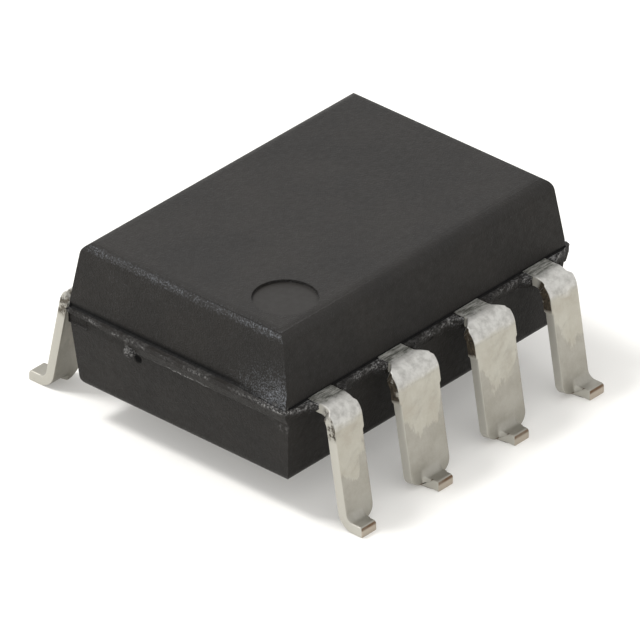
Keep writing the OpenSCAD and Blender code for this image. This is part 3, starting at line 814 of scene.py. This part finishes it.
def tin_plate():
    """Matt tin on copper alloy: dull and scratched on the necks, whiter on the bends, partly as a
    painted highlight, creamy on the blades, greyer by the feet, and brown where the strip was cut
    through after the plating; painted paler on the sides, with painted shade on faces turned to the
    body and on the back row."""
    m = Nodes("tin_plate")
    at = m.place()
    x, y, _ = m.split(at)
    along, across, height = m.split(m.attribute("strip", "Vector"))
    normal_x, normal_y, _ = m.normal()

    def drawn_out(along_scale, x_scale, roughness):
        """Grain that is longer along the strip than across it, or shorter."""
        return m.grain(m.join(m.times(along, along_scale), m.times(x, x_scale), y), 1.0, 4.0, roughness)

    smudge = m.grain(at, 1.6, 4.0, 0.6)
    fine = m.grain(at, 18.0, 3.0, 0.6)
    fleck = m.grain(at, 5.0, 4.0, 0.65)
    streaks = drawn_out(0.9, 13.0, 0.6)
    drips = drawn_out(1.3, 3.2, 0.65)
    scratches = drawn_out(16.0, 3.0, 0.7)

    cream = m.mix(m.fit(smudge, 0.35, 0.65), *CREAM_TIN)
    cream = m.mix(m.fit(streaks, 0.52, 0.75, 0.0, 0.25), cream, STREAK)
    slanted = m.join(m.plus(m.times(along, 2.6), m.times(x, 1.8)), m.minus(x, m.times(along, 0.6)), y)
    cream = m.mix(m.fit(m.grain(slanted, 1.0, 4.0, 0.65), 0.52, 0.66, 0.0, 0.35), cream, SMEAR)
    # the greyer part climbs in drips, further up along the blade's edges
    to_edge = m.fit(m.size(across), 0.34, 0.62, 0.0, 0.55)
    low = m.fit(m.plus(along, to_edge, m.times(drips, 1.3)), GREYER_FROM, GREYER_FROM + 0.08)
    colour = m.mix(low, cream, m.mix(m.fit(smudge, 0.4, 0.6), *SATIN_TIN))
    # the upper bend's whiter tin is partly a painted highlight of the light it faces
    bend = m.fit(m.plus(along, m.times(smudge, 0.5)), BEND_TIN_TO, BEND_TIN_TO + 0.14, 1.0, 0.0)
    colour = m.mix(bend, colour, m.mix(m.fit(fleck, 0.35, 0.6), *BEND_TIN_AND_HIGHLIGHT))
    neck = m.fit(m.plus(along, m.times(fleck, 0.3)), NECK_TIN_TO, NECK_TIN_TO + 0.12, 1.0, 0.0)
    colour = m.mix(neck, colour, m.mix(m.fit(scratches, 0.40, 0.62), *SCRATCHED_TIN))
    # the forming tool's mark at the end of the bend
    off_mark = m.fit(m.size(m.minus(along, TOOL_MARK_AT)), 0.0, 0.04)
    mark = m.times(m.minus(1.0, off_mark), m.fit(streaks, 0.4, 0.6, 0.0, 0.35))
    colour = m.mix(mark, colour, TOOL_MARK)
    # bare copper alloy where the dam bar was cut away, and on the foot's cut end
    side = m.fit(m.size(normal_x), 0.6, 0.8)
    spared = m.fit(m.size(across), 0.25, 0.6, 0.16, 0.0)
    cut = m.times(side, m.fit(m.minus(fleck, spared), 0.26, 0.40),
                  m.times(m.fit(along, CUT_FROM, CUT_FROM + 0.15),
                          m.fit(along, CUT_TO - 0.14, CUT_TO, 1.0, 0.0)))
    colour = m.mix(cut, colour, m.mix(m.fit(fine, 0.35, 0.65), *CUT_COPPER))
    # painted light: the blades' sides are made paler where the body and the neighbouring leads shade
    # them
    colour = m.mix(m.times(side, m.minus(1.0, cut)), colour, PAINTED_LIGHT_SIDE_TIN)
    tip = m.times(m.fit(m.size(normal_y), 0.6, 0.8), m.fit(along, SHEARED_FROM, SHEARED_FROM + 0.04))
    sheared = m.mix(m.fit(height, -0.11, -0.06), *SHEARED_END)
    colour = m.mix(m.times(tip, m.fit(smudge, 0.3, 0.5, 0.6, 1.0)), colour, sheared)
    # painted shade: darker on the faces turned to the body, and on the back row, which less light
    # reaches
    colour = m.mix(m.fit(m.times(normal_y, y), -1.0, -3.0, 0.0, 0.45), colour, PAINTED_SHADE_TIN)
    colour = m.mix(m.fit(y, -0.5, 0.5, 0.0, 0.2), colour, PAINTED_SHADE_TIN)
    m.link(colour, m.shader.inputs["Base Color"])

    bare = m.most(cut, neck)
    m.link(m.fit(m.most(bare, side), 0.0, 1.0, 0.75, 0.4), m.shader.inputs["Metallic"])
    rough = m.plus(m.fit(fine, 0.3, 0.7, 0.40, 0.52), m.times(bare, 0.15))
    m.link(rough, m.shader.inputs["Roughness"])
    relief = m.plus(m.times(fine, 0.5), m.times(streaks, 0.4),
                    m.times(scratches, neck, 1.5), m.times(fine, cut, 3.0))
    m.link(m.bump(relief, 0.010 * MM, 0.8), m.shader.inputs["Normal"])
    return m.material


TIN_PLATE = tin_plate()
for n in range(1, 9):
    formed = build_lead(n)
    formed.data.materials.append(TIN_PLATE)
    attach(formed, "root")
    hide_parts(f"lead_{n}")


# ---------------------------------------------------------------------------
# Inside the resin. The paddle of the same copper strip, the silicon die stuck
# to it with silver epoxy, and the gold wires bonded from the die to the leads.
# All are sealed in and keep their CAD shapes.
# ---------------------------------------------------------------------------


def sealed_finish(name, dark, light, grain_scale, metallic, rough):
    """A two-tone grained finish for a piece that the resin hides."""
    m = Nodes(name)
    grain = m.grain(m.place(), grain_scale, 3.0)
    m.link(m.mix(grain, dark, light), m.shader.inputs["Base Color"])
    m.shader.inputs["Metallic"].default_value = metallic
    m.link(m.fit(grain, 0.3, 0.7, rough, rough + 0.15), m.shader.inputs["Roughness"])
    m.link(m.bump(grain, 0.003 * MM, 0.4), m.shader.inputs["Normal"])
    return m.material


COPPER = (0.48, 0.22, 0.12, 1), (0.60, 0.30, 0.17, 1)
SILVER_EPOXY = grey(0.35), grey(0.5)
SILICON = grey(0.06, -0.1), grey(0.09, -0.12)
GOLD = (0.70, 0.45, 0.12, 1), (0.80, 0.55, 0.18, 1)
SEALED = {
    "die_paddle": sealed_finish("bare_copper", *COPPER, 6.0, 1.0, 0.3),
    "die_attach": sealed_finish("silver_filled_epoxy", *SILVER_EPOXY, 20.0, 0.4, 0.5),
    "die": sealed_finish("polished_silicon", *SILICON, 2.0, 0.3, 0.15),
}
BONDING_GOLD = sealed_finish("bonding_gold", *GOLD, 12.0, 1.0, 0.25)
SEALED.update({f"bond_wire_{n}": BONDING_GOLD for n in range(1, 9)})
for node, finish in SEALED.items():
    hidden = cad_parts[node]
    hidden.data.materials.clear()
    hidden.data.materials.append(finish)


# ---------------------------------------------------------------------------
# Studio. A pale matt table lit a little from below, soft white light all
# round, and one soft light high behind the dimple end.
# ---------------------------------------------------------------------------

TABLE_HALF = 0.25
table_mesh = bpy.data.meshes.new("table_top")
table_mesh.from_pydata(
    [(x * TABLE_HALF, y * TABLE_HALF, 0) for x, y in ((-1, -1), (1, -1), (1, 1), (-1, 1))],
    [], [(0, 1, 2, 3)])
table_top = bpy.data.objects.new("table_top", table_mesh)
bpy.context.scene.collection.objects.link(table_top)
table = Nodes("white_table")
table.shader.inputs["Base Color"].default_value = (0.68, 0.67, 0.645, 1)
table.shader.inputs["Roughness"].default_value = 0.9
table.shader.inputs["Emission Color"].default_value = (1.0, 0.985, 0.95, 1)
table.shader.inputs["Emission Strength"].default_value = 0.25
table_mesh.materials.append(table.material)

world = bpy.data.worlds.new("studio")
bpy.context.scene.world = world
world.use_nodes = True
world.node_tree.nodes["Background"].inputs["Color"].default_value = (1, 1, 1, 1)
world.node_tree.nodes["Background"].inputs["Strength"].default_value = 1.0
bpy.context.scene.view_settings.view_transform = "Standard"

KEY_FROM = Vector((-0.28, 0.42, 0.86)).normalized()
KEY_DISTANCE = 0.12
lamp = bpy.data.lights.new("key", "AREA")
lamp.size = 0.03
lamp.energy = 0.11
key = bpy.data.objects.new("key", lamp)
key.location = KEY_FROM * KEY_DISTANCE
key.rotation_euler = KEY_FROM.to_track_quat("Z", "Y").to_euler()
bpy.context.scene.collection.objects.link(key)

VIEW_BACK = Vector((-0.6357, -0.5676, 0.5233)).normalized()  # from the part to the camera
VIEW_DISTANCE = 0.3
VIEW_LENS = 762.0
AIM = Vector((0.000028, -0.000031, 0.00174))
camera_data = bpy.data.cameras.new("camera")
camera_data.lens = VIEW_LENS
camera_data.sensor_width = 36
camera_data.clip_start = 0.01
camera_data.clip_end = 2.0
camera = bpy.data.objects.new("camera", camera_data)
camera.location = AIM + VIEW_BACK * VIEW_DISTANCE
camera.rotation_euler = VIEW_BACK.to_track_quat("Z", "Y").to_euler()
bpy.context.scene.collection.objects.link(camera)
bpy.context.scene.camera = camera
